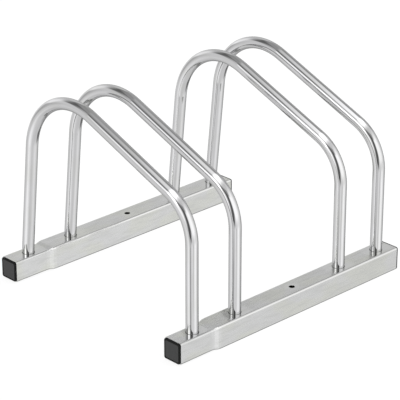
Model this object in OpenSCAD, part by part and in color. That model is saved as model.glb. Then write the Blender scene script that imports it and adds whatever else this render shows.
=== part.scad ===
// Floor rack for two bicycles.
// Two square-tube rails lie on the floor and carry four bent round-tube hoops in two pairs.
// A front or rear wheel is pushed between the two hoops of a pair.
// X runs along the rails, Y from the front rail to the rear rail, Z up. The floor is Z = 0.

/* [Rails] */
// Outer width and height of the square tube
rail_size = 30; // [26:0.5:50]
// Wall of the square tube
rail_wall = 1.2; // [1:0.1:2]
// Outer corner radius of the square tube
rail_corner = 2.5; // [2.3:0.1:5]
// Distance between the centre lines of the two rails
rail_spacing = 293; // [260:1:420]

/* [Coupling end] */
// Gap on each side when this end is pushed into the rail of a further rack
coupling_clearance = 0.3; // [0.15:0.05:0.4]
// Length over which the tube swells from the reduced end to its full size
shoulder_length = 14; // [8:0.5:16]

/* [Hoop places] */
// From the reduced tube end to the first hoop
first_leg_inset = 30; // [27:0.5:60]
// From the last hoop to the full-size tube end
last_leg_inset = 22.5; // [21.5:0.5:30]
// Distance between the two hoops that hold one wheel
pair_spacing = 68; // [55:0.5:100]
// Distance from one pair of hoops to the next
bay_pitch = 244.5; // [180:0.5:400]

/* [Hoops] */
// Outer diameter of the round tube
hoop_tube_d = 15; // [14:0.5:18]
// Wall of the round tube
hoop_tube_wall = 1.2; // [1:0.1:1.4]
// Height of the hoop's highest point over the underside of the rail
hoop_height = 254.5; // [220:0.5:330]
// Fall of the long run towards the front, in degrees
run_fall = 21.6; // [15:0.1:30]
// Forward lean of the rear leg, in degrees
rear_lean = 6; // [2:0.5:9]
// Centre line radius of the bend at the top
top_bend_r = 81; // [50:1:95]
// Centre line radius of the bend at the front knee
knee_bend_r = 57; // [40:1:80]
// Centre line radius of the slight bend that sets the rear foot upright
set_bend_r = 80; // [50:1:100]
// How far a bend draws the tube in, on the radius
bend_draw = 0.02; // [0.01:0.01:0.1]
// Gap round a leg in its hole in the rail
leg_clearance = 0.2; // [0.1:0.05:0.6]
// Width of the broken edge round the holes in the top of the rail
hole_edge = 0.3; // [0.1:0.1:0.5]

/* [Leg fixing] */
// Nominal diameter of the countersunk foot screw
screw_d = 5; // [4:0.5:5]
// Diameter of its head
screw_head_d = 9.4; // [8.4:0.1:9.6]
// Length of the screw with its head
screw_length = 16; // [12:1:18]
// Width across the flats of its hexagon socket
socket_width = 3; // [2:0.5:3]
// Depth of that socket
socket_depth = 2; // [1.5:0.1:2.2]
// Depth of the head under the underside of the rail
head_recess = 0.3; // [0.1:0.1:0.6]
// Gap round the screw where it passes through the rail
screw_clearance = 0.25; // [0.1:0.05:0.4]
// Length of the threaded insert in a leg
insert_length = 14; // [12:0.5:18]
// Gap between touching turned, pressed and moulded parts
fit_gap = 0.1; // [0.05:0.01:0.15]
// Gap between the insert and the raised rim of the screw hole
insert_lift = 0.5; // [0.3:0.1:1]
// Width of the ring rolled into the leg to hold the insert
crimp_width = 2.4; // [2:0.1:3.5]
// Depth of that ring
crimp_depth = 0.6; // [0.3:0.05:0.8]

/* [Floor fixing] */
// Diameter of the holes for the floor anchors
anchor_hole_d = 7; // [5:0.5:10]
// From the reduced tube end to the anchor hole
anchor_inset = 193.5; // [150:0.5:220]

/* [End caps] */
// Thickness of the head that covers the tube end
cap_head = 2; // [1.5:0.1:4]
// Radius of the rounded edge of the head
cap_edge_r = 1.1; // [0.5:0.1:1.4]
// How far the head stays inside the outside of the tube on each side
cap_head_inset = 0.8; // [0:0.1:0.9]
// Depth of the plug inside the tube
cap_depth = 12; // [9:0.5:13]
// Wall of the hollow plug
cap_wall = 1.4; // [1:0.1:2.5]
// Height of the grip ribs over the plug
cap_rib_height = 0.9; // [0.5:0.1:1.4]
// Thickness of a grip rib at its crest
cap_rib_crest = 0.5; // [0.3:0.1:1]
// Number of grip ribs
cap_ribs = 3; // [2:1:4]

/* [Hidden] */
$fn = 96;
hull_fn = 32;
eps = 0.01;
least_corner = 0.3;
bend_lap = 0.05;
thread_gap = 0.05;

rail_half_pitch = rail_spacing / 2;
rail_length = first_leg_inset + bay_pitch + pair_spacing + last_leg_inset;
rail_start = -rail_length / 2;
rail_end = rail_length / 2;
rail_bore = rail_size - 2 * rail_wall;

// The reduced end slides into the bore of a further rail, as deep as the two end insets together,
// so that the first hoop drops through the last leg hole of that rail as well. The first taper of
// the shoulder rises by less than the gap, so it goes into the bore too.
reduced_size = rail_bore - 2 * coupling_clearance;
reduced_step = (rail_size - reduced_size) / 2;
shoulder_lead = 0.3;
lead_rise = 0.6 * coupling_clearance / reduced_step;
shoulder_start = rail_start + first_leg_inset + last_leg_inset - shoulder_lead * shoulder_length;
// Length and rise of the shoulder at the joints of its three tapers
shoulder_curve = [[0, 0], [shoulder_lead, lead_rise], [1 - shoulder_lead, 1 - lead_rise], [1, 1]];

leg_x = [
    rail_start + first_leg_inset,
    rail_start + first_leg_inset + pair_spacing,
    rail_start + first_leg_inset + bay_pitch,
    rail_start + first_leg_inset + bay_pitch + pair_spacing
];
anchor_x = rail_start + anchor_inset;

hoop_r = hoop_tube_d / 2;
hoop_bore_r = hoop_r - hoop_tube_wall;

// Lengths of the hoop's straight runs, from the rear foot to the front foot
set_tangent = set_bend_r * tan(rear_lean / 2);
top_centre_z = hoop_height - hoop_r - top_bend_r;
lean_base_z = rail_size + set_tangent;
lean_length = (top_centre_z - lean_base_z + top_bend_r * sin(rear_lean)) / cos(rear_lean);
top_centre_y = rail_half_pitch - lean_length * sin(rear_lean) - top_bend_r * cos(rear_lean);
fall_length = (top_centre_y - top_bend_r * sin(run_fall) + rail_half_pitch) / cos(run_fall);
knee_angle = 90 - run_fall;
knee_tangent = knee_bend_r * tan(knee_angle / 2);
knee_z = top_centre_z + top_bend_r * cos(run_fall) - fall_length * sin(run_fall);
rear_foot_run = rail_size - rail_wall;
rear_leg_run = lean_length - set_tangent;
long_run = fall_length - knee_tangent;
front_leg_run = knee_z - knee_tangent - rail_wall;

// The bottom wall is pressed up into a cone round each screw, so that the head lies sunk
screw_hole_r = screw_d / 2 + screw_clearance;
cone_mouth_r = screw_head_d / 2 + head_recess + fit_gap * sqrt(2);
cone_height = cone_mouth_r - screw_hole_r;
rim_height = cone_height + 0.75 * rail_wall;
function cone_back_r(z) = cone_mouth_r + rail_wall * sqrt(2) - z;

insert_r = hoop_bore_r - fit_gap;
insert_base = rim_height + insert_lift;
crimp_z = insert_base + insert_length / 2;

// Height of the rail's underside where a hoop stands, and of its top
function underside(x) = x < shoulder_start ? reduced_step : 0;
function top_side(x) = rail_size - underside(x);

// Places children, drawn in the XY plane and standing along Z, along the rails
module along_rail(x) {
    translate([x, 0, rail_size / 2])
        rotate([90, 0, 90])
            children();
}

// Outline of a square tube
module tube_outline(size, corner, facets = $fn) {
    reach = size / 2 - corner;
    square([size, 2 * reach], center = true);
    square([2 * reach, size], center = true);
    for (sx = [-1, 1], sy = [-1, 1])
        translate([sx * reach, sy * reach])
            circle(r = corner, $fn = facets);
}

// One end face of a taper of the shoulder; part runs from 0 at the reduced end to 1
module shoulder_slice(station, inset) {
    size = reduced_size + station[1] * (rail_size - reduced_size);
    along_rail(shoulder_start + station[0] * shoulder_length)
        linear_extrude(eps, center = true)
            tube_outline(size - 2 * inset, rail_corner - inset, hull_fn);
}

// Solid form of a rail, shrunk by inset on each side and run past both ends by overrun
module rail_form(inset, overrun) {
    along_rail(rail_start - overrun)
        linear_extrude(shoulder_start - rail_start + overrun)
            tube_outline(reduced_size - 2 * inset, rail_corner - inset);
    for (i = [0 : len(shoulder_curve) - 2])
        hull() {
            shoulder_slice(shoulder_curve[i], inset);
            shoulder_slice(shoulder_curve[i + 1], inset);
        }
    along_rail(shoulder_start + shoulder_length)
        linear_extrude(rail_end - shoulder_start - shoulder_length + overrun)
            tube_outline(rail_size - 2 * inset, rail_corner - inset);
}

// Broken edge of a round hole in the top of the rail
module top_hole_edge(x, hole_r) {
    translate([x, 0, top_side(x) - hole_edge])
        cylinder(h = hole_edge + eps, r1 = hole_r, r2 = hole_r + hole_edge + eps);
}

// A rail centred on Y = 0
module rail() {
    difference() {
        union() {
            difference() {
                rail_form(0, 0);
                rail_form(rail_wall, 1);
            }
            for (x = leg_x)
                translate([x, 0, underside(x) + rail_wall / 2])
                    cylinder(
                        h = rim_height - rail_wall / 2,
                        r1 = cone_back_r(rail_wall / 2),
                        r2 = cone_back_r(rim_height)
                    );
        }
        for (x = leg_x) {
            translate([x, 0, rail_size / 2])
                cylinder(h = rail_size, r = hoop_r + leg_clearance);
            top_hole_edge(x, hoop_r + leg_clearance);
            translate([x, 0, underside(x) - eps])
                cylinder(h = cone_height + eps, r1 = cone_mouth_r + eps, r2 = screw_hole_r);
            translate([x, 0, underside(x)])
                cylinder(h = rail_size / 2, r = screw_hole_r);
        }
        translate([anchor_x, 0, -1])
            cylinder(h = rail_size + 2, d = anchor_hole_d);
        top_hole_edge(anchor_x, anchor_hole_d / 2);
    }
}

// A straight run of the hoop along Z; what follows starts at its end. It laps into its bends.
module straight(length, radius) {
    translate([0, 0, -bend_lap])
        cylinder(h = length + 2 * bend_lap, r = radius);
    translate([0, 0, length])
        children();
}

// A bend of the hoop from Z towards -Y; what follows starts at its end
module bend(bend_r, angle, radius) {
    translate([0, -bend_r, 0]) {
        rotate([90, 0, 90])
            rotate_extrude(angle = angle)
                translate([bend_r, 0])
                    circle(r = radius - bend_draw);
        rotate([angle, 0, 0])
            translate([0, bend_r, 0])
                children();
    }
}

// The bent bar that a hoop's outside or bore follows, from the rear foot to the front foot
module hoop_bar(radius, overrun) {
    foot_trim = overrun - bend_lap;
    translate([0, rail_half_pitch, rail_wall - foot_trim])
        straight(rear_foot_run + foot_trim, radius)
            bend(set_bend_r, rear_lean, radius)
                straight(rear_leg_run, radius)
                    bend(top_bend_r, 90 + run_fall - rear_lean, radius)
                        straight(long_run, radius)
                            bend(knee_bend_r, knee_angle, radius)
                                straight(front_leg_run + foot_trim, radius);
}

// Ring of trapezoid section round both legs of a hoop, depth deep from its mouth radius inwards
module crimp_rings(mouth_r, depth, width) {
    for (side = [-1, 1])
        translate([0, side * rail_half_pitch, crimp_z])
            rotate_extrude()
                polygon([
                    [mouth_r + eps, -width / 2 - eps],
                    [mouth_r + eps, width / 2 + eps],
                    [mouth_r - depth, width / 2 - depth],
                    [mouth_r - depth, depth - width / 2]
                ]);
}

// A hoop with its feet on the bottom walls of both rails. A ring rolled into each leg stands out
// as a bead in the bore and holds the insert.
module hoop(place) {
    translate([leg_x[place], 0, underside(leg_x[place])])
        difference() {
            hoop_bar(hoop_r, 0);
            difference() {
                hoop_bar(hoop_bore_r, 1);
                crimp_rings(hoop_bore_r, crimp_depth, crimp_width);
            }
            crimp_rings(hoop_r, crimp_depth, crimp_width);
        }
}

// The threaded insert in one leg of a hoop; side is -1 for the front leg and 1 for the rear leg
module leg_insert(place, side) {
    translate([leg_x[place], 0, underside(leg_x[place])])
        difference() {
            translate([0, side * rail_half_pitch, insert_base])
                cylinder(h = insert_length, r = insert_r);
            translate([0, side * rail_half_pitch, insert_base - 1])
                cylinder(h = insert_length + 2, r = screw_d / 2 + thread_gap);
            crimp_rings(insert_r, crimp_depth, crimp_width + 2 * fit_gap);
        }
}

// One countersunk foot screw, standing head down on Z = 0
module foot_screw() {
    head_height = (screw_head_d - screw_d) / 2;
    tip = screw_d / 8;
    difference() {
        union() {
            cylinder(h = head_height, d1 = screw_head_d, d2 = screw_d);
            cylinder(h = screw_length - tip, d = screw_d);
            translate([0, 0, screw_length - tip])
                cylinder(h = tip, d1 = screw_d, d2 = screw_d - 2 * tip);
        }
        translate([0, 0, -1])
            cylinder(h = socket_depth + 1, d = socket_width / cos(30), $fn = 6);
    }
}

// The four screws of one rail
module foot_screws(side) {
    for (x = leg_x)
        translate([x, side * rail_half_pitch, underside(x) + head_recess])
            foot_screw();
}

// One face of a cap, in the XY plane
module cap_slice(size, inset, z) {
    translate([0, 0, z])
        linear_extrude(eps)
            tube_outline(size - 2 * inset, max(least_corner, rail_corner - inset), hull_fn);
}

// Grip rib of a cap, with its crest at height z; its ramp runs on into the wall of the plug
module cap_rib(size, z) {
    crest_inset = rail_wall + fit_gap;
    ramp = cap_rib_height + cap_wall / 2;
    hull() {
        cap_slice(size, crest_inset, z - cap_rib_crest);
        cap_slice(size, crest_inset, z);
        cap_slice(size, crest_inset + ramp, z + ramp);
    }
}

// A ribbed cap for a tube of the given size; its head lies under Z = 0 and its hollow plug stands up
module end_cap(size) {
    head_size = size - 2 * cap_head_inset;
    plug_inset = rail_wall + cap_rib_height + fit_gap;
    rib_pitch = cap_depth / (cap_ribs + 0.5);
    hull() {
        for (angle = [0 : 22.5 : 90])
            cap_slice(
                head_size,
                cap_edge_r * (1 - cos(angle)),
                cap_edge_r * (1 - sin(angle)) - cap_head
            );
        cap_slice(head_size, 0, -eps);
    }
    difference() {
        union() {
            translate([0, 0, -cap_head / 2])
                linear_extrude(cap_depth + cap_head / 2)
                    tube_outline(size - 2 * plug_inset, max(least_corner, rail_corner - plug_inset));
            for (i = [1 : cap_ribs])
                cap_rib(size, i * rib_pitch);
        }
        linear_extrude(cap_depth + 1)
            tube_outline(size - 2 * (plug_inset + cap_wall), least_corner);
    }
}

// A cap at the reduced end of a rail
module reduced_end_cap(side) {
    translate([0, side * rail_half_pitch, 0])
        along_rail(rail_start)
            end_cap(reduced_size);
}

// A cap at the full-size end of a rail
module full_end_cap(side) {
    translate([0, side * rail_half_pitch, 0])
        mirror([1, 0, 0])
            along_rail(-rail_end)
                end_cap(rail_size);
}

module rail_front() { color("silver") translate([0, -rail_half_pitch, 0]) rail(); }
module rail_rear() { color("silver") translate([0, rail_half_pitch, 0]) rail(); }
module hoop_1() { color("gainsboro") hoop(0); }
module hoop_2() { color("gainsboro") hoop(1); }
module hoop_3() { color("gainsboro") hoop(2); }
module hoop_4() { color("gainsboro") hoop(3); }
module cap_front_left() { color("dimgray") reduced_end_cap(-1); }
module cap_rear_left() { color("dimgray") reduced_end_cap(1); }
module cap_front_right() { color("dimgray") full_end_cap(-1); }
module cap_rear_right() { color("dimgray") full_end_cap(1); }
module insert_1_front() { color("goldenrod") leg_insert(0, -1); }
module insert_1_rear() { color("goldenrod") leg_insert(0, 1); }
module insert_2_front() { color("goldenrod") leg_insert(1, -1); }
module insert_2_rear() { color("goldenrod") leg_insert(1, 1); }
module insert_3_front() { color("goldenrod") leg_insert(2, -1); }
module insert_3_rear() { color("goldenrod") leg_insert(2, 1); }
module insert_4_front() { color("goldenrod") leg_insert(3, -1); }
module insert_4_rear() { color("goldenrod") leg_insert(3, 1); }
module foot_screws_front() { color("slategray") foot_screws(-1); }
module foot_screws_rear() { color("slategray") foot_screws(1); }

rail_front();
rail_rear();
hoop_1();
hoop_2();
hoop_3();
hoop_4();
cap_front_left();
cap_front_right();
cap_rear_left();
cap_rear_right();
insert_1_front();
insert_1_rear();
insert_2_front();
insert_2_rear();
insert_3_front();
insert_3_rear();
insert_4_front();
insert_4_rear();
foot_screws_front();
foot_screws_rear();
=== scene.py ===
# Floor rack for two bicycles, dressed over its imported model.
import bmesh
import bpy
from math import atan2, cos, pi, radians, sin, tan
from mathutils import Matrix, Vector


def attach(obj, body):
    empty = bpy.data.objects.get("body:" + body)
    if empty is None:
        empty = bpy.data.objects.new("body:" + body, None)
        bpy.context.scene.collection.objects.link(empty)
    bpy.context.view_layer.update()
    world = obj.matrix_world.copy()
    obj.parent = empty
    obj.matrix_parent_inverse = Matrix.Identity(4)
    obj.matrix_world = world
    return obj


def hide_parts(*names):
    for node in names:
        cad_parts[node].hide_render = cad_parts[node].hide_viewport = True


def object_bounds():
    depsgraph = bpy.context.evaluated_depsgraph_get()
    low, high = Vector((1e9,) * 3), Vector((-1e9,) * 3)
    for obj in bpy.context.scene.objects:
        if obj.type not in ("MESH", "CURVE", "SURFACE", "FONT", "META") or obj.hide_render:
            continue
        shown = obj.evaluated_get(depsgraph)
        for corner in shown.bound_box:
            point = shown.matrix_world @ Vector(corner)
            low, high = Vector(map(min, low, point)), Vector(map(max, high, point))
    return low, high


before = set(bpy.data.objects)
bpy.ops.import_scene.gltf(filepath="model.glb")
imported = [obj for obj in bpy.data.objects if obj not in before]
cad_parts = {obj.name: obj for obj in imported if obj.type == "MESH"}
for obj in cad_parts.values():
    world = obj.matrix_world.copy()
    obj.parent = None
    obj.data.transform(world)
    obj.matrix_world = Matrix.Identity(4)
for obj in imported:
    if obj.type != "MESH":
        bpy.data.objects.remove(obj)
cad_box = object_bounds()


# Camera. A long lens from above the near left corner, two and a half metres away, aimed at the
# middle of the rack. The lens and the sensor are in millimetres.
camera_azimuth = radians(-43.7)
camera_elevation = radians(24.0)
camera_distance = 2.476
camera_aim = Vector((-0.0328, -0.0343, 0.120))
camera_lens = 186.7
camera_sensor = 36

camera = bpy.data.objects.new("camera", bpy.data.cameras.new("camera"))
bpy.context.scene.collection.objects.link(camera)
camera_back = Vector((
    sin(camera_azimuth) * cos(camera_elevation),
    -cos(camera_azimuth) * cos(camera_elevation),
    sin(camera_elevation),
))
camera.location = camera_aim + camera_distance * camera_back
camera.rotation_euler = camera_back.to_track_quat("Z", "Y").to_euler()
camera.data.lens = camera_lens
camera.data.sensor_width = camera_sensor
bpy.context.scene.camera = camera


# Rails. Two lengths of square steel tube, cold drawn, punched and bright zinc plated. The left end
# of each is swaged down a little, so that it slides into the rail of a further rack. They lie on
# the floor, and the legs of the hoops stand in them. Drawing leaves fine lines along the tube.
rail_size = 0.030
rail_pitch = 0.293
# From the middle of the tube: where its flats end, and where its rounded corners are well begun
flat_half = 0.0120
corner_half = 0.0136
# The top wall and the corners beside it lie higher than this over the middle of the tube
top_level = 0.010
# Places of the punched holes along the rail, and their radii
leg_places = (-0.1525, -0.0845, 0.092, 0.160)
leg_hole_radius = 0.0077
anchor_place = 0.011
anchor_radius = 0.0035
# The bare wall of a hole, painted near black as the shade down in the hole, ends between these
# distances outside its radius, and the zinc that the punch pressed smooth ends between these
# multiples of it
wall_inner = 0.0001
wall_outer = 0.0003
pressed_inner = 1.8
pressed_outer = 3.0
zinc_cool = (0.596, 0.599, 0.599, 1)
zinc_warm = (0.592, 0.598, 0.566, 1)
zinc_dull = (0.500, 0.504, 0.494, 1)
# Painted highlight: the brighter zinc of the rounded corners
corner_highlight_zinc = (0.670, 0.670, 0.662, 1)
# Painted shade: the near-black colour of the bare hole walls
shaded_bare_steel = (0.02, 0.02, 0.02, 1)
# How much the painted shade of the bare hole walls covers the zinc, and how much smooth zinc loses
# of its roughness
shaded_bare_share = 0.9
smooth_share = 0.75


class Wire:
    """A socket in a shader. Arithmetic on it adds the Math nodes."""

    def __init__(self, shading, socket):
        self.shading = shading
        self.socket = socket

    def math(self, operation, *others):
        return self.shading.math(operation, self, *others)

    def __add__(self, other):
        return self.shading.math("ADD", self, other)

    def __radd__(self, other):
        return self.shading.math("ADD", other, self)

    def __sub__(self, other):
        return self.shading.math("SUBTRACT", self, other)

    def __rsub__(self, other):
        return self.shading.math("SUBTRACT", other, self)

    def __mul__(self, other):
        return self.shading.math("MULTIPLY", self, other)

    def __rmul__(self, other):
        return self.shading.math("MULTIPLY", other, self)

    def __truediv__(self, other):
        return self.shading.math("DIVIDE", self, other)


class Shading:
    """The nodes of one finish, or of the studio."""

    def __init__(self, owner):
        owner.use_nodes = True
        self.owner = owner
        self.tree = owner.node_tree

    def put(self, socket, value):
        if isinstance(value, Wire):
            self.tree.links.new(value.socket, socket)
        else:
            socket.default_value = value

    def node(self, kind, settings, values, output=None):
        """Adds a node: its settings first, then the values or links of its sockets. Returns the
        output of that name, or else the first one."""
        node = self.tree.nodes.new(kind)
        for name, value in settings.items():
            setattr(node, name, value)
        for name, value in values.items():
            if isinstance(name, str):
                socket = next(s for s in node.inputs if s.name == name and s.enabled)
            else:
                socket = node.inputs[name]
            self.put(socket, value)
        outputs = [s for s in node.outputs if s.enabled and output in (None, s.name)]
        return Wire(self, outputs[0])

    def math(self, operation, *values):
        return self.node("ShaderNodeMath", {"operation": operation}, dict(enumerate(values)))

    def noise(self, vector, waves, detail, roughness, shift=(0, 0, 0)):
        """Noise with about so many waves in a metre along each axis."""
        stretched = self.node(
            "ShaderNodeMapping",
            {"vector_type": "POINT"},
            {"Vector": vector, "Location": shift, "Scale": waves},
        )
        return self.node(
            "ShaderNodeTexNoise",
            {"noise_dimensions": "3D"},
            {"Vector": stretched, "Scale": 1, "Detail": detail, "Roughness": roughness},
        )

    def split(self, vector, axis):
        return self.node("ShaderNodeSeparateXYZ", {}, {"Vector": vector}, axis)

    def remap(self, wire, none, full):
        """Goes smoothly from 0 where the wire is at none to 1 where it is at full."""
        return self.node(
            "ShaderNodeMapRange",
            {"interpolation_type": "SMOOTHSTEP"},
            {"Value": wire, "From Min": none, "From Max": full},
        )

    def blend(self, factor, first, second):
        return self.node(
            "ShaderNodeMix",
            {"data_type": "RGBA", "blend_type": "MIX"},
            {0: factor, 6: first, 7: second},
            "Result",
        )

    def bump(self, height, strength, distance):
        return self.node(
            "ShaderNodeBump", {}, {"Height": height, "Strength": strength, "Distance": distance}
        )


class Finish(Shading):
    """The material of one kind of piece, on one principled shader."""

    def __init__(self, name):
        super().__init__(bpy.data.materials.new(name))
        self.shader = self.tree.nodes["Principled BSDF"]

    def set(self, **values):
        for name, value in values.items():
            self.put(self.shader.inputs[name.replace("_", " ")], value)

    def coordinates(self, kind="Object"):
        return self.node("ShaderNodeTexCoord", {}, {}, kind)

    def dress(self, piece):
        piece.data.materials.clear()
        piece.data.materials.append(self.owner)


rail_zinc = Finish("rail_zinc")
place = rail_zinc.coordinates()
# Lines of the drawing die, about a millimetre apart, with finer ones between them
drawn_lines = rail_zinc.noise(place, (5, 700, 700), detail=4, roughness=0.6)
fine_lines = rail_zinc.noise(place, (22, 3200, 3200), detail=2, roughness=0.6)
# Broader streaks where the plating ran off along the tube
streaks = rail_zinc.noise(place, (34, 260, 260), detail=3, roughness=0.65)
# Clouds of the passivated zinc, a few centimetres across
clouds = rail_zinc.noise(place, (14, 30, 30), detail=3, roughness=0.55)
tint = rail_zinc.noise(place, (20, 34, 34), detail=2, roughness=0.5, shift=(3, 1, 2))
zinc = rail_zinc.blend(rail_zinc.remap(tint, 0.42, 0.58), zinc_cool, zinc_warm)
for pattern, none, full, share in (
    # what dulls the zinc, from and up to which level of it, by how much
    (clouds, 0.45, 0.72, 0.30),
    (streaks, 0.46, 0.66, 0.45),
    (drawn_lines, 0.50, 0.75, 0.30),
):
    zinc = rail_zinc.blend(share * rail_zinc.remap(pattern, none, full), zinc, zinc_dull)

# The rounded corners are smoother than the flats, and painted brighter as a highlight along the
# edges. Only they are far from the middle of the tube both across and up
across = rail_zinc.split(place, "Y").math("ABSOLUTE") - rail_pitch / 2
up = rail_zinc.split(place, "Z") - rail_size / 2
corner = across.math("ABSOLUTE").math("MINIMUM", up.math("ABSOLUTE"))
corner = rail_zinc.remap(corner, flat_half, corner_half)
zinc = rail_zinc.blend(corner, zinc, corner_highlight_zinc)

# The walls of the holes in the top are bare steel, painted near black as the shade inside the
# holes, and the zinc round them is smooth
along_rail = rail_zinc.split(place, "X")
shaded_bare_wall = 0.0
pressed = 0.0
holes = [(anchor_place, anchor_radius)]
holes += [(leg_place, leg_hole_radius) for leg_place in leg_places]
for hole_place, radius in holes:
    off = along_rail - hole_place
    off = off * off + across * across
    shaded_bare_wall = shaded_bare_wall + rail_zinc.remap(off, (radius + wall_outer) ** 2, (radius + wall_inner) ** 2)
    pressed = pressed + rail_zinc.remap(
        off, (pressed_outer * radius) ** 2, (pressed_inner * radius) ** 2
    )
on_top = up.math("GREATER_THAN", top_level)
shaded_bare_wall = shaded_bare_wall * on_top
pressed = pressed * on_top

drawn_roughness = 0.16 + 0.10 * drawn_lines + 0.14 * streaks
# The base colour carries the painted shade of the hole walls and the painted highlight of the
# corners
rail_zinc.set(
    Base_Color=rail_zinc.blend(shaded_bare_share * shaded_bare_wall, zinc, shaded_bare_steel),
    Metallic=1.0,
    Roughness=drawn_roughness * (1 - smooth_share * corner) * (1 - smooth_share * pressed),
    Normal=rail_zinc.bump(
        0.6 * drawn_lines + 0.4 * fine_lines, strength=0.24, distance=0.00008
    ),
)
for name in ("rail_front", "rail_rear"):
    rail_zinc.dress(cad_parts[name])


# Hoops. Each is one piece of round steel tube, bright zinc plated. It is cut straight, then bent
# three times: a slight set over the rear foot, a tall round bend, and a tighter knee at the front.
# A ring rolled into each foot holds the threaded insert. The feet stand in the rails.
rail_wall = 0.0012
reduced_size = 0.0270
# The first hoop stands in the reduced ends of the rails, whose bottom walls lie higher
reduced_lift = (rail_size - reduced_size) / 2
hoop_height = cad_box[1][2] - reduced_lift
hoop_radius = 0.0075
hoop_bore = 0.0063
fall = radians(21.6)
rear_lean = radians(6)
set_radius = 0.080
top_radius = 0.081
knee_radius = 0.057
crimp_place = 0.0096
crimp_half = 0.0012
crimp_depth = 0.0006
tube_sides = 48
bend_step = radians(3)
hoop_sharp = radians(30)
hoop_cool = (0.624, 0.623, 0.633, 1)
hoop_warm = (0.597, 0.597, 0.592, 1)
hoop_dull = (0.520, 0.521, 0.522, 1)

# Straight lengths between the bends, from the rear foot to the front foot
set_tangent = set_radius * tan(rear_lean / 2)
top_z = hoop_height - hoop_radius - top_radius
lean = (top_z - rail_size - set_tangent + top_radius * sin(rear_lean)) / cos(rear_lean)
top_y = rail_pitch / 2 - lean * sin(rear_lean) - top_radius * cos(rear_lean)
run = (top_y - top_radius * sin(fall) + rail_pitch / 2) / cos(fall)
knee_tangent = knee_radius * tan((radians(90) - fall) / 2)
knee_z = top_z + top_radius * cos(fall) - run * sin(fall)
bends = (
    # straight length before the bend, its radius, its angle
    (rail_size - rail_wall, set_radius, rear_lean),
    (lean - set_tangent, top_radius, radians(90) + fall - rear_lean),
    (run - knee_tangent, knee_radius, radians(90) - fall),
    (knee_z - knee_tangent - rail_wall, knee_radius, 0),
)

# Lengths along the tube at which it has a ring of vertices, and whether it is rolled in there
tube_length = sum(straight + radius * angle for straight, radius, angle in bends)
crimp = (
    (-crimp_half, 0),
    (crimp_depth - crimp_half, 1),
    (crimp_half - crimp_depth, 1),
    (crimp_half, 0),
)
rings = [(crimp_place + shift, rolled) for shift, rolled in crimp]
rings += [(tube_length - crimp_place + shift, rolled) for shift, rolled in crimp]
reached = 0
for straight, radius, angle in bends:
    steps = max(1, round(angle / bend_step))
    rings += [(reached + straight + radius * angle * step / steps, 0) for step in range(steps + 1)]
    reached += straight + radius * angle
rings = sorted(ring for ring in set(rings) if ring[0] <= tube_length)


def extruded(shape, edges):
    """Extrudes a loop of edges where it is. Returns the new verts and the new edges."""
    grown = bmesh.ops.extrude_edge_only(shape, edges=edges)["geom"]
    verts = [part for part in grown if isinstance(part, bmesh.types.BMVert)]
    edges = [
        part for part in grown
        if isinstance(part, bmesh.types.BMEdge) and all(vert in verts for vert in part.verts)
    ]
    return verts, edges


def drawn(tube, radius):
    """Draws one wall of the straight tube along Z. Returns the edges of its two ends."""
    verts = bmesh.ops.create_circle(tube, segments=tube_sides, radius=radius)["verts"]
    first = [edge for edge in tube.edges if edge.verts[0] in verts]
    edges = first
    at, size = 0, 1
    for level, rolled in rings:
        verts, edges = extruded(tube, edges)
        wanted = 1 - rolled * crimp_depth / radius
        bmesh.ops.translate(tube, verts=verts, vec=(0, 0, level - at))
        bmesh.ops.scale(tube, verts=verts, vec=(wanted / size, wanted / size, 1))
        at, size = level, wanted
    return first, edges


def bent(point):
    """Where a point of the straight tube is once the tube is bent, over the middle of the rack."""
    carried = Matrix.Translation((0, rail_pitch / 2, rail_wall))
    left = point.z
    for straight, radius, angle in bends:
        if left <= straight:
            break
        carried = carried @ Matrix.Translation((0, -radius, straight))
        turn = min((left - straight) / radius, angle)
        carried = carried @ Matrix.Rotation(turn, 4, "X") @ Matrix.Translation((0, radius, 0))
        left -= straight + turn * radius
    return carried @ Vector((point.x, point.y, left))


def piece(name, shape, finishes, slot, *nodes):
    """Makes a mesh of a bmesh in place of the CAD nodes, and fixes it to the rack."""
    mesh = bpy.data.meshes.new(name)
    shape.to_mesh(mesh)
    shape.free()
    for finish in finishes:
        mesh.materials.append(finish.owner)
    made = bpy.data.objects.new(name, mesh)
    bpy.context.scene.collection.objects.link(made)
    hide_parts(*nodes)
    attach(made, "root")


# The patterns of the rail's zinc, round and along the tube. X of the UV map goes round it
hoop_zinc = Finish("hoop_zinc")
rolled_out = hoop_zinc.coordinates("UV")
drawn_lines = hoop_zinc.noise(rolled_out, (900, 7, 1), detail=4, roughness=0.6)
fine_lines = hoop_zinc.noise(rolled_out, (3500, 30, 1), detail=2, roughness=0.6)
streaks = hoop_zinc.noise(rolled_out, (420, 9, 1), detail=3, roughness=0.6)
clouds = hoop_zinc.noise(rolled_out, (70, 24, 1), detail=3, roughness=0.55)
zinc = hoop_zinc.blend(hoop_zinc.remap(clouds, 0.4, 0.7), hoop_cool, hoop_warm)
zinc = hoop_zinc.blend(0.5 * hoop_zinc.remap(streaks, 0.46, 0.66), zinc, hoop_dull)
hoop_zinc.set(
    Base_Color=zinc,
    Metallic=1.0,
    Roughness=0.03 + 0.05 * clouds,
    Specular_Tint=(0.62, 0.62, 0.62, 1),
    Normal=hoop_zinc.bump(
        0.5 * streaks + 0.4 * drawn_lines + 0.1 * fine_lines, strength=0.3, distance=0.00008
    ),
)

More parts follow.
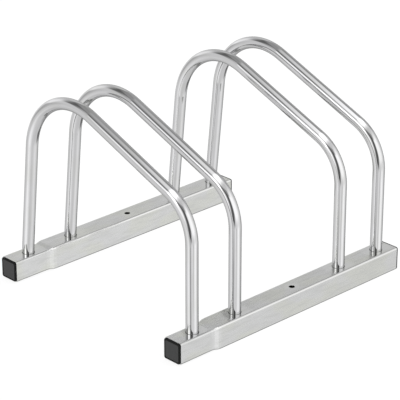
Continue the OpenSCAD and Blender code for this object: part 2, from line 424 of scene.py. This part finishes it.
for number, hoop_x in enumerate(leg_places, 1):
    hoop_lift = reduced_lift if number == 1 else 0
    tube = bmesh.new()
    outer = drawn(tube, hoop_radius)
    inner = drawn(tube, hoop_bore)
    for outer_end, inner_end in zip(outer, inner):
        bmesh.ops.bridge_loops(tube, edges=outer_end + inner_end)
    bmesh.ops.recalc_face_normals(tube, faces=tube.faces)
    for edge in tube.edges:
        edge.smooth = edge.calc_face_angle(0) < hoop_sharp
    # The UV map is the tube rolled out flat, in metres, another stretch of it for each hoop. It
    # is slit where the tube is welded, inside the bends
    flat = tube.loops.layers.uv.new("rolled_out")
    for face in tube.faces:
        face.smooth = True
        turns = [atan2(loop.vert.co.x, loop.vert.co.y) for loop in face.loops]
        over = max(turns) - min(turns) > pi
        for loop, turn in zip(face.loops, turns):
            round_tube = turn + 2 * pi * (over and turn < 0)
            loop[flat].uv = (round_tube * hoop_radius + number, loop.vert.co.z)
    for vert in tube.verts:
        vert.co = bent(vert.co) + Vector((hoop_x, 0, hoop_lift))
    piece(f"bent_hoop_{number}", tube, [hoop_zinc], "hoop_steel", f"hoop_{number}")


# Threaded inserts. Slugs of yellow plated steel, pressed into the feet of the legs. The ring
# rolled into the leg holds each of them. Turning leaves fine rings round them.
insert_zinc = Finish("insert_zinc")
place = insert_zinc.coordinates()
turned = insert_zinc.noise(place, (200, 200, 3000), detail=2, roughness=0.5)
insert_zinc.set(
    Base_Color=(0.55, 0.50, 0.36, 1),
    Metallic=1.0,
    Roughness=0.28 + 0.1 * turned,
    Normal=insert_zinc.bump(turned, strength=0.15, distance=0.00005),
)
for hoop in range(1, 5):
    for side in ("front", "rear"):
        insert_zinc.dress(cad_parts[f"insert_{hoop}_{side}"])


# Foot screws. Countersunk hexagon socket screws of zinc plated steel. They go up through the
# bottom walls of the rails into the inserts, and pull the legs down on the rails.
screw_zinc = Finish("screw_zinc")
place = screw_zinc.coordinates()
turned = screw_zinc.noise(place, (500, 500, 2500), detail=2, roughness=0.5)
screw_zinc.set(
    Base_Color=(0.52, 0.53, 0.54, 1),
    Metallic=1.0,
    Roughness=0.25 + 0.12 * turned,
    Normal=screw_zinc.bump(turned, strength=0.2, distance=0.00004),
)
for side in ("front", "rear"):
    screw_zinc.dress(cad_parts[f"foot_screws_{side}"])


# End caps. Plugs of black polyethylene, moulded hollow with three grip ribs and pressed into the
# tube ends. Only the head shows, square as the tube, with a matt rounded rim round a sunk panel
# and a fine groove where it meets the tube. The caps of the reduced ends are smaller.
rail_half = 0.1825
cap_head = 0.002
cap_corner = 0.0025
corner_steps = 6
rim_width = 0.0020
panel_sink = 0.0002
front_round = 0.0004
front_steps = 6
back_round = 0.0002
back_steps = 3
cap_sharp = radians(28)
plug_depth = 0.012
plug_wall = 0.0014
rib_pitch = plug_depth / 3.5
rib_height = 0.0009
rib_crest = 0.0005
fit_gap = 0.0001
cap_places = (
    # name, side of the rack, tube size, tube end along X, direction into the tube, underside,
    # how far the head lies inside the tube's outside
    ("front_left", -1, reduced_size, -rail_half, 1, reduced_lift, 0.0008),
    ("rear_left", 1, reduced_size, -rail_half, 1, reduced_lift, 0.0008),
    ("front_right", -1, rail_size, rail_half, -1, 0, 0.0001),
    ("rear_right", 1, rail_size, rail_half, -1, 0, 0.0001),
)

# The panel shows the grain of the mould and some handling
cap_plastic = Finish("cap_plastic")
place = cap_plastic.coordinates()
grain = cap_plastic.noise(place, (2600, 2600, 2600), detail=2, roughness=0.5)
handling = cap_plastic.noise(place, (160, 160, 160), detail=3, roughness=0.6)
plastic_dark = (0.0125, 0.0125, 0.0130, 1)
plastic_pale = (0.0215, 0.0215, 0.0222, 1)
cap_plastic.set(
    Base_Color=cap_plastic.blend(handling, plastic_dark, plastic_pale),
    Roughness=0.42 + 0.16 * handling,
    Normal=cap_plastic.bump(grain, strength=0.25, distance=0.00006),
)

# The rim and the plug are matt, and painted darker than the panel as the shade round the edge of
# the head
shaded_cap_rim = Finish("shaded_cap_rim")
place = shaded_cap_rim.coordinates()
grain = shaded_cap_rim.noise(place, (2600, 2600, 2600), detail=2, roughness=0.5)
shaded_cap_rim.set(
    Base_Color=shaded_cap_rim.blend(grain, (0.007, 0.007, 0.007, 1), (0.012, 0.012, 0.012, 1)),
    Roughness=0.6 + 0.2 * grain,
    Specular_IOR_Level=0.12,
    Normal=shaded_cap_rim.bump(grain, strength=0.3, distance=0.00006),
)


def cap_outline(head_inset):
    """How far inside the tube's outside a cap lies at each height over the tube end, from the
    middle of its head to the bottom of its hollow."""
    plug_inset = rail_wall + rib_height + fit_gap
    crest_inset = rail_wall + fit_gap
    hollow_inset = plug_inset + plug_wall
    outline = [
        (head_inset + rim_width, panel_sink - cap_head),
        (head_inset + rim_width - panel_sink, -cap_head),
    ]
    for step in range(front_steps + 1):
        turn = radians(90) * step / front_steps
        inset = head_inset + front_round * (1 - sin(turn))
        outline += [(inset, front_round * (1 - cos(turn)) - cap_head)]
    for step in range(back_steps + 1):
        turn = radians(90) * step / back_steps
        outline += [(head_inset + back_round * (1 - cos(turn)), back_round * (sin(turn) - 1))]
    outline += [(plug_inset, 0)]
    for rib in (1, 2, 3):
        outline += [
            (plug_inset, rib * rib_pitch - rib_crest),
            (crest_inset, rib * rib_pitch - rib_crest),
            (crest_inset, rib * rib_pitch),
            (plug_inset, rib * rib_pitch + rib_height),
        ]
    return outline + [(plug_inset, plug_depth), (hollow_inset, plug_depth), (hollow_inset, 0)]


for name, side, size, end, inward, underside, head_inset in cap_places:
    # Made with its head down, as a rounded square that goes up the outline
    cap = bmesh.new()
    bmesh.ops.create_grid(cap, x_segments=1, y_segments=1, size=size / 2)
    bmesh.ops.bevel(
        cap, geom=cap.verts[:], offset=cap_corner, offset_type="OFFSET", affect="VERTICES",
        segments=corner_steps, profile=0.5, material=-1,
    )
    verts = cap.verts[:]
    edges = head_edges = [edge for edge in cap.edges if edge.is_boundary]
    bmesh.ops.delete(cap, geom=cap.faces[:], context="FACES_ONLY")
    half, height = size / 2, 0
    for station, (inset, level) in enumerate(cap_outline(head_inset)):
        if station:
            verts, edges = extruded(cap, edges)
        wanted = size / 2 - inset
        bmesh.ops.translate(cap, verts=verts, vec=(0, 0, level - height))
        bmesh.ops.scale(cap, verts=verts, vec=(wanted / half, wanted / half, 1))
        half, height = wanted, level
    bmesh.ops.contextual_create(cap, geom=edges)
    for face in cap.faces:
        face.material_index = 1
    for face in bmesh.ops.contextual_create(cap, geom=head_edges)["faces"]:
        face.material_index = 0
    bmesh.ops.recalc_face_normals(cap, faces=cap.faces)
    for face in cap.faces:
        face.smooth = len(face.verts) == 4
    for edge in cap.edges:
        edge.smooth = edge.calc_face_angle(0) < cap_sharp
    # Its up goes into the tube, which mirrors the caps of the right-hand ends
    turn = Matrix(((0, 0, inward), (1, 0, 0), (0, 1, 0))).to_4x4()
    middle = Matrix.Translation((end, side * rail_pitch / 2, underside + size / 2))
    bmesh.ops.transform(cap, matrix=middle @ turn, verts=cap.verts)
    if inward < 0:
        bmesh.ops.reverse_faces(cap, faces=cap.faces)
    piece(f"pressed_cap_{name}", cap, [cap_plastic, shaded_cap_rim], "cap_plastic", f"cap_{name}")


# Floor. A plain white table top. Seen directly it is close to the white of the room, and it keeps
# a soft shadow of the rack.
floor_reach = 1.1
floor_white = (0.93, 0.93, 0.93, 1)
# How bright the white is that the camera sees, and how much of it lies over the shadow
seen_light = 1.08
seen_share = 0.8

floor_shape = bmesh.new()
bmesh.ops.create_grid(floor_shape, x_segments=1, y_segments=1, size=floor_reach)
floor = bpy.data.objects.new("floor", bpy.data.meshes.new("floor"))
bpy.context.scene.collection.objects.link(floor)
floor_shape.to_mesh(floor.data)
floor_shape.free()
floor.visible_glossy = False

floor_paint = Finish("floor_paint")
floor_paint.set(Base_Color=floor_white, Roughness=0.9, Specular_IOR_Level=0.0)
seen = floor_paint.node("ShaderNodeLightPath", {}, {}, "Is Camera Ray")
white = floor_paint.node(
    "ShaderNodeEmission", {}, {"Color": (1, 1, 1, 1), "Strength": seen_light}
)
painted = Wire(floor_paint, floor_paint.shader.outputs[0])
surface = floor_paint.node("ShaderNodeMixShader", {}, {0: seen_share * seen, 1: painted, 2: white})
floor_paint.put(floor_paint.tree.nodes["Material Output"].inputs["Surface"], surface)
floor_paint.dress(floor)


# Studio. A white tent round the rack, with soft boxes and dark gaps in its walls that the metal
# mirrors, and one flat box overhead. A panel lies over the ones before it. Angles are in degrees,
# azimuth 0 is straight ahead of the rack, and the camera itself sees plain white.
tent_above = 0.874
tent_below = 0.866
tent_seam = 6
panels = (
    # what it is: azimuth, half its width, low and high edge, softness across and up, level.
    # The one overhead has its own place and size below
    ("ceiling behind", 185, 73, 46, 95, 3, 3, 0.42),
    ("ceiling corner", -159, 31, 27, 57, 48, 13, 0.16),
    ("ceiling right", 117, 16, 22, 74, 3, 3, 0.51),
    ("rail light", 132, 7, 18, 33, 6, 4, 0.84),
    ("low box behind", 182, 16, -14, 32, 26, 41, 1.37),
    ("dusk band", -173, 22, -14, 6, 35, 7, 0.55),
    ("left box", -93, 19, -1, 26, 3, 20, 1.57),
    ("left high", -82, 16, 53, 102, 39, 45, 2.81),
    ("left foot", -101, 13, 18, 33, 5, 5, 3.2),
    ("right fade", 86, 4, 23, 35, 6, 9, 0.19),
    ("overhead", 0, 0, 0, 0, 0, 0, 2.42),
    ("right box", -3, 52, -6, 48, 60, 23, 1.57),
    ("dark middle", -46, 19, -5, 49, 23, 21, 0.13),
    ("dark top", -70, 11, 29, 48, 35, 16, 0.03),
    ("dark low", -56, 15, -18, 2, 9, 18, 0.06),
    ("left glare", -98, 28, -44, -18, 59, 45, 1.50),
    ("leg gap", -69, 12, -28, -12, 30, 3, 0.68),
    ("leg dip", -23, 9, -25, -20, 4, 7, 0.19),
    ("right glare", 19, 26, -27, -19, 60, 45, 1.90),
    ("right dusk", 71, 22, -29, -10, 43, 7, 0.65),
    ("behind", 131, 30, -54, 5, 51, 10, 0.54),
    ("right line", 97, 4, 4, 47, 15, 8, 0.40),
    ("left line", -112, 5, 41, 60, 4, 4, 0.22),
    ("run light", -113, 3, 21, 34, 2, 4, 1.5),
    ("ceiling line", 108, 4, 43, 57, 4, 5, 0.33),
    ("underneath", 120, 40, -84, -54, 30, 6, 0.66),
    ("low right", 75, 27, -55, -37, 20, 6, 0.22),
    ("top fill", -29, 16, 41, 54, 35, 4, 0.35),
    ("bright behind", 164, 16, -18, 13, 41, 5, 1.47),
    ("mid stripe", -37, 15, -28, -18, 45, 11, 1.21),
    ("leg line", -67, 9, -29, -24.6, 12, 2, 0.45),
    ("right stripe", 50, 13, -25, 0, 11, 14, 1.11),
)
overhead_azimuth = 0.1
overhead_elevation = 85.0
# Width, length and softness of the box overhead at a distance of one, and how far ahead a
# direction has to point for it to meet the box
overhead_size = (1.06, 0.33)
overhead_edge = 0.38
overhead_near = 0.05
to_degrees = 180 / pi

world = bpy.data.worlds.new("studio")
bpy.context.scene.world = world
studio = Shading(world)
direction = studio.node("ShaderNodeTexCoord", {}, {}, "Generated")


def along(axis):
    """How far the direction of the light goes along an axis."""
    return studio.node(
        "ShaderNodeVectorMath", {"operation": "DOT_PRODUCT"}, {0: direction, 1: axis}, "Value"
    )


def within(off, half_size, edge):
    """Is 1 up to half a size from the middle and 0 outside it, with a soft edge between."""
    return studio.remap(off.math("ABSOLUTE"), half_size + edge / 2, half_size - edge / 2)


elevation = along((0, 0, 1)).math("ARCSINE") * to_degrees
light = studio.remap(elevation, -tent_seam, tent_seam)
light = tent_below + (tent_above - tent_below) * light
for name, azimuth, half_width, low, high, edge_across, edge_up, level in panels:
    if name == "overhead":
        turn = Matrix.Rotation(radians(overhead_azimuth), 3, "Z")
        turn = turn @ Matrix.Rotation(radians(-overhead_elevation), 3, "X")
        ahead = along(turn @ Vector((0, -1, 0)))
        near = ahead.math("MAXIMUM", overhead_near)
        across = along(turn @ Vector((1, 0, 0))) / near
        up = along(turn @ Vector((0, 0, 1))) / near
        panel = within(across, overhead_size[0] / 2, overhead_edge)
        panel = panel * within(up, overhead_size[1] / 2, overhead_edge)
        panel = panel * ahead.math("GREATER_THAN", overhead_near)
    else:
        middle = Vector((sin(radians(azimuth)), -cos(radians(azimuth)), 0))
        side = Vector((cos(radians(azimuth)), sin(radians(azimuth)), 0))
        round_room = along(side).math("ARCTAN2", along(middle)) * to_degrees
        panel = within(round_room, half_width, edge_across)
        panel = panel * within(elevation - (low + high) / 2, (high - low) / 2, edge_up)
    light = light + panel * (level - light)
seen = studio.node("ShaderNodeLightPath", {}, {}, "Is Camera Ray")
light = seen + (1 - seen) * light
background = studio.tree.nodes["Background"]
studio.put(background.inputs["Color"], (1, 1, 1, 1))
studio.put(background.inputs["Strength"], light)
bpy.context.scene.view_settings.view_transform = "Standard"
